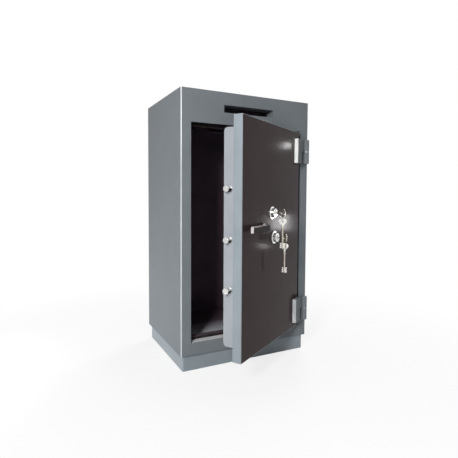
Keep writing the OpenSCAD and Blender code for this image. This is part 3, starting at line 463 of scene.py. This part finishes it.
# the neck's lengths as shares of the whole: foot, drawing in, waist, widening, head
neckShares = {"foot": 0.15, "drawIn": 0.2, "waist": 0.35, "widen": 0.2, "head": 0.15}
low, high = shutBox("lever_handle")
bpy.ops.mesh.primitive_cube_add(size=1, location=(
    (low.x + high.x) / 2, low.y + lever["thick"] * mm / 2, handleSpot.z))
leverBar = bpy.context.object
leverBar.scale = (high.x - low.x, lever["thick"] * mm, 2 * lever["half"] * mm)
settle(leverBar)
for end, radius in ((high.x, lever["hubRound"]), (low.x, lever["tipRound"])):
    selectEdges(leverBar, lambda a, b: (
        abs(a.x - end) < nudge and abs(b.x - end) < nudge and abs(a.y - b.y) > nudge))
    bpy.ops.mesh.bevel(offset=radius * mm, segments=lever["roundSteps"], affect="EDGES",
                       clamp_overlap=False)
    bpy.ops.object.mode_set(mode="OBJECT")
leverTop = handleSpot.z + lever["half"] * mm
selectEdges(leverBar, lambda a, b: (
    min(a.z, b.z) > leverTop - nudge and max(a.y, b.y) < low.y + nudge))
bpy.ops.mesh.bevel(offset=lever["topSlope"] * mm, segments=1, affect="EDGES", clamp_overlap=False)
bpy.ops.object.mode_set(mode="OBJECT")
neckLength = high.y - low.y - lever["thick"] * mm
footLength = neckLength * neckShares["foot"]
bpy.ops.mesh.primitive_cylinder_add(
    vertices=lever["neckSides"], radius=lever["neckRadius"] * mm, depth=footLength,
    location=(handleSpot.x, high.y - footLength / 2, handleSpot.z), rotation=(math.pi / 2, 0, 0))
leverNeck = bpy.context.object
settle(leverNeck)
selectFaces(leverNeck, lambda centre, normal: normal.y < -squareOn)
for share, grow in (("drawIn", lever["waist"]), ("waist", 1.0), ("widen", 1 / lever["waist"]),
                    ("head", 1.0)):
    bpy.ops.mesh.extrude_region_move(
        TRANSFORM_OT_translate={"value": (0, -neckLength * neckShares[share], 0)})
    bpy.ops.transform.resize(value=(grow, 1, grow))
bpy.ops.object.mode_set(mode="OBJECT")
applyModifier(leverBar, "BOOLEAN", object=leverNeck, operation="UNION", solver="EXACT")
bpy.data.objects.remove(leverNeck)
softenEdges(leverBar, lever["edge"], lever["edgeSteps"], lever["edgeAngle"])
finishPiece(leverBar, "lever_handle_shaped", "lever_handle")
# painted highlight: its top and tip keep the pale finish, the rest is painted black
repaintFaces(leverBar, "dark_steel", lambda centre, normal: (
    normal.z < lever["blackFrom"] and normal.x > -lever["blackFrom"]))
hangOnDoor(leverBar)

# Lock roses: a flange and a tapering boss, bored for the plug, with a sleeve through the door
rose = {"sides": 64, "flange": 22, "flangeThick": 4, "bossFoot": 17, "bossTop": 15, "bore": 12.15,
        "sleeve": 15, "edge": 0.5, "edgeSteps": 3, "centre": 0.5}
doorFace = shutBox("door_face_panel")[0].y


def makeRose(spot, low, high):
    bpy.ops.mesh.primitive_cylinder_add(
        vertices=rose["sides"], radius=rose["flange"] * mm, depth=rose["flangeThick"] * mm,
        location=(spot.x, doorFace - rose["flangeThick"] * mm / 2, spot.z),
        rotation=(math.pi / 2, 0, 0))
    piece = bpy.context.object
    settle(piece)
    bossLength = doorFace - low.y - rose["flangeThick"] * mm
    selectFaces(piece, lambda centre, normal: normal.y < -squareOn)
    bpy.ops.mesh.inset(thickness=(rose["flange"] - rose["bossFoot"]) * mm)
    bpy.ops.mesh.extrude_region_move(TRANSFORM_OT_translate={"value": (0, -bossLength, 0)})
    shrink = rose["bossTop"] / rose["bossFoot"]
    bpy.ops.transform.resize(value=(shrink, 1, shrink))
    bpy.ops.mesh.inset(thickness=(rose["bossTop"] - rose["bore"]) * mm)
    bpy.ops.object.mode_set(mode="OBJECT")
    selectFaces(piece, lambda centre, normal: normal.y > squareOn)
    bpy.ops.mesh.inset(thickness=(rose["flange"] - rose["sleeve"]) * mm)
    bpy.ops.mesh.extrude_region_move(TRANSFORM_OT_translate={"value": (0, high.y - doorFace, 0)})
    bpy.ops.mesh.inset(thickness=(rose["sleeve"] - rose["bore"]) * mm)
    bpy.ops.object.mode_set(mode="OBJECT")
    selectFaces(piece, lambda centre, normal: abs(normal.y) > squareOn and Vector(
        (centre.x - spot.x, centre.z - spot.z)).length < rose["centre"] * mm)
    bpy.ops.mesh.bridge_edge_loops()
    bpy.ops.object.mode_set(mode="OBJECT")
    softenEdges(piece, rose["edge"], rose["edgeSteps"])
    hangOnDoor(piece)
    return piece


for side, spot in lockSpots.items():
    nodeName = side + "_lock_rose"
    finishPiece(makeRose(spot, *shutBox(nodeName)), nodeName + "_turned", nodeName)

# Key rings: spring wire wound twice, the two turns side by side
ring = {"wire": 0.43, "wireSides": 10, "pitch": 0.9, "turns": 1.94, "steps": 140, "smooth": 60}
for side in lockSpots:
    nodeName = side + "_key_ring"
    low, high = shutBox(nodeName)
    middle = (low + high) / 2
    radius = (high.x - low.x) / 2 - (high.y - low.y) / 2
    bpy.ops.mesh.primitive_circle_add(
        vertices=ring["wireSides"], radius=ring["wire"] * mm, fill_type="NGON",
        location=(radius, 0, 0), rotation=(math.pi / 2, 0, 0))
    piece = bpy.context.object
    settle(piece)
    applyModifier(piece, "SCREW", angle=math.tau * ring["turns"], screw_offset=ring["pitch"] * mm,
                  steps=ring["steps"], render_steps=ring["steps"], use_merge_vertices=False)
    piece.data.transform(Matrix.Translation(middle) @ Matrix.Rotation(math.pi / 2, 4, "X")
                         @ Matrix.Translation((0, 0, -ring["pitch"] * mm / 2)))
    work(piece)
    bpy.ops.object.mode_set(mode="EDIT")
    bpy.ops.mesh.select_all(action="SELECT")
    bpy.ops.mesh.fill_holes(sides=0)
    bpy.ops.mesh.select_all(action="SELECT")
    bpy.ops.mesh.normals_make_consistent(inside=False)
    bpy.ops.object.mode_set(mode="OBJECT")
    bpy.ops.object.shade_smooth_by_angle(angle=math.radians(ring["smooth"]))
    hangOnDoor(piece)
    finishPiece(piece, nodeName + "_wound", nodeName)
print("turned, bent and wound pieces made")

# Camera at the photograph's place: yaw to the right, a little down, and the tilt of the frame
cameraSpot = {"place": (-0.7436, -1.539, 0.6368), "yaw": 27.54, "pitch": 3.01, "roll": -0.36,
              "lens": 31.81, "sensor": 36, "shift": (-0.0175, -0.031)}
yaw, pitch, roll = (math.radians(cameraSpot[key]) for key in ("yaw", "pitch", "roll"))
ahead = Vector((math.sin(yaw) * math.cos(pitch), math.cos(yaw) * math.cos(pitch), -math.sin(pitch)))
level = Vector((math.cos(yaw), -math.sin(yaw), 0))
down = ahead.cross(level)
across = level * math.cos(roll) + down * math.sin(roll)
lower = down * math.cos(roll) - level * math.sin(roll)
camera = bpy.data.objects.new("camera", bpy.data.cameras.new("camera"))
scene.collection.objects.link(camera)
facing = Matrix((across, -lower, -ahead)).transposed().to_4x4()
camera.matrix_world = Matrix.Translation(cameraSpot["place"]) @ facing
camera.data.lens = cameraSpot["lens"]
camera.data.sensor_width = cameraSpot["sensor"]
camera.data.shift_x, camera.data.shift_y = cameraSpot["shift"]
scene.camera = camera

# Soft studio lamps: the main one left of the camera and above it, a weak low one that lifts the
# left side's foot, a broad one for the back and right, and small ones at the right that only show
# as soft reflections in the dark door
lamps = {
    "mainLamp": {"place": (-1.5, -1.7, 1.25), "aim": (-0.1, -0.3, 0.5),
                 "size": (0.35, 0.35), "watts": 39},
    "leftLamp": {"place": (-0.95, 0.1, 0.05), "aim": (-0.27, 0.0, 0.05),
                 "size": (0.7, 0.1), "watts": 2.8},
    "backLamp": {"place": (2.0, 1.7, 1.8), "aim": (0, 0, 0.5), "size": (1.2, 1.2), "watts": 60},
    "highRightLamp": {"place": (1.59, -0.065, 0.99), "aim": (0.12, -0.29, 0.81),
                      "size": (0.035, 0.035), "watts": 0.155, "glossOnly": True},
    "rightLamp": {"place": (1.55, -0.12, 0.43), "aim": (0.07, -0.32, 0.53),
                  "size": (0.12, 0.11), "watts": 0.58, "glossOnly": True},
    "lowRightLamp": {"place": (1.44, -0.25, 0.27), "aim": (-0.04, -0.39, 0.46),
                     "size": (0.006, 0.006), "watts": 0.06, "glossOnly": True},
}
for name, lamp in lamps.items():
    light = bpy.data.lights.new(name, "AREA")
    light.shape = "RECTANGLE"
    light.size, light.size_y = lamp["size"]
    light.energy = lamp["watts"]
    holder = bpy.data.objects.new(name, light)
    scene.collection.objects.link(holder)
    holder.location = lamp["place"]
    throw = Vector(lamp["aim"]) - Vector(lamp["place"])
    holder.rotation_euler = throw.to_track_quat("-Z", "Y").to_euler()
    holder.visible_diffuse = not lamp.get("glossOnly", False)
    light.use_shadow = holder.visible_diffuse


def seenDirectly(tree):  # 1 for camera, glossy and transmission rays
    path = addNode(tree, "ShaderNodeLightPath")
    shiny = addNode(tree, "ShaderNodeMath", {"operation": "MAXIMUM"},
                    {0: path.outputs["Is Glossy Ray"], 1: path.outputs["Is Transmission Ray"]})
    seen = addNode(tree, "ShaderNodeMath", {"operation": "MAXIMUM"},
                   {0: path.outputs["Is Camera Ray"], 1: shiny.outputs[0]})
    return seen.outputs[0]


# White all round for the eye and for reflections, and a weaker white that lights the object
surround = {"lightStrength": 0.24, "seenStrength": 1.0}
world = bpy.data.worlds.new("studio")
world.use_nodes = True
worldTree = world.node_tree
worldTree.nodes.clear()
worldLight = addNode(worldTree, "ShaderNodeBackground", {
    "Color": linearColour("#FFFFFF"), "Strength": surround["lightStrength"]})
worldSeen = addNode(worldTree, "ShaderNodeBackground", {
    "Color": linearColour("#FFFFFF"), "Strength": surround["seenStrength"]})
worldMix = addNode(worldTree, "ShaderNodeMixShader", None, {
    0: seenDirectly(worldTree), 1: worldLight.outputs[0], 2: worldSeen.outputs[0]})
addNode(worldTree, "ShaderNodeOutputWorld", None, {"Surface": worldMix.outputs[0]})
scene.world = world

# Pale floor: white to the eye, with the object's soft shadow left on it near the object
floorLook = {"size": 14.0, "drop": 0.3, "nearShare": 0.8, "nearReach": 0.45, "farReach": 1.3}
bpy.ops.mesh.primitive_plane_add(size=floorLook["size"], location=(0, 0, -floorLook["drop"] * mm))
floor = bpy.context.object
floor.name = "floor"
settle(floor)
floorMaterial = bpy.data.materials.new("paleFloor")
floorMaterial.use_nodes = True
floorTree = floorMaterial.node_tree
floorTree.nodes.clear()
floorPlace = addNode(floorTree, "ShaderNodeTexCoord")
floorReach = addNode(floorTree, "ShaderNodeVectorMath", {"operation": "LENGTH"},
                     {0: floorPlace.outputs["Object"]})
floorShare = addNode(floorTree, "ShaderNodeMapRange", {
    "From Min": floorLook["nearReach"], "From Max": floorLook["farReach"],
    "To Min": floorLook["nearShare"], "To Max": 1.0}, {"Value": floorReach.outputs["Value"]})
floorMatt = addNode(floorTree, "ShaderNodeBsdfDiffuse", {"Color": linearColour("#F4F4F4")})
floorGlow = addNode(floorTree, "ShaderNodeEmission", {
    "Color": linearColour("#FFFFFF"), "Strength": surround["seenStrength"]})
floorBoth = addNode(floorTree, "ShaderNodeMixShader", None, {
    0: floorShare.outputs["Result"], 1: floorMatt.outputs[0], 2: floorGlow.outputs[0]})
floorMix = addNode(floorTree, "ShaderNodeMixShader", None, {
    0: seenDirectly(floorTree), 1: floorMatt.outputs[0], 2: floorBoth.outputs[0]})
addNode(floorTree, "ShaderNodeOutputMaterial", None, {"Surface": floorMix.outputs[0]})
floor.data.materials.append(floorMaterial)
print("camera, lamps and floor set")
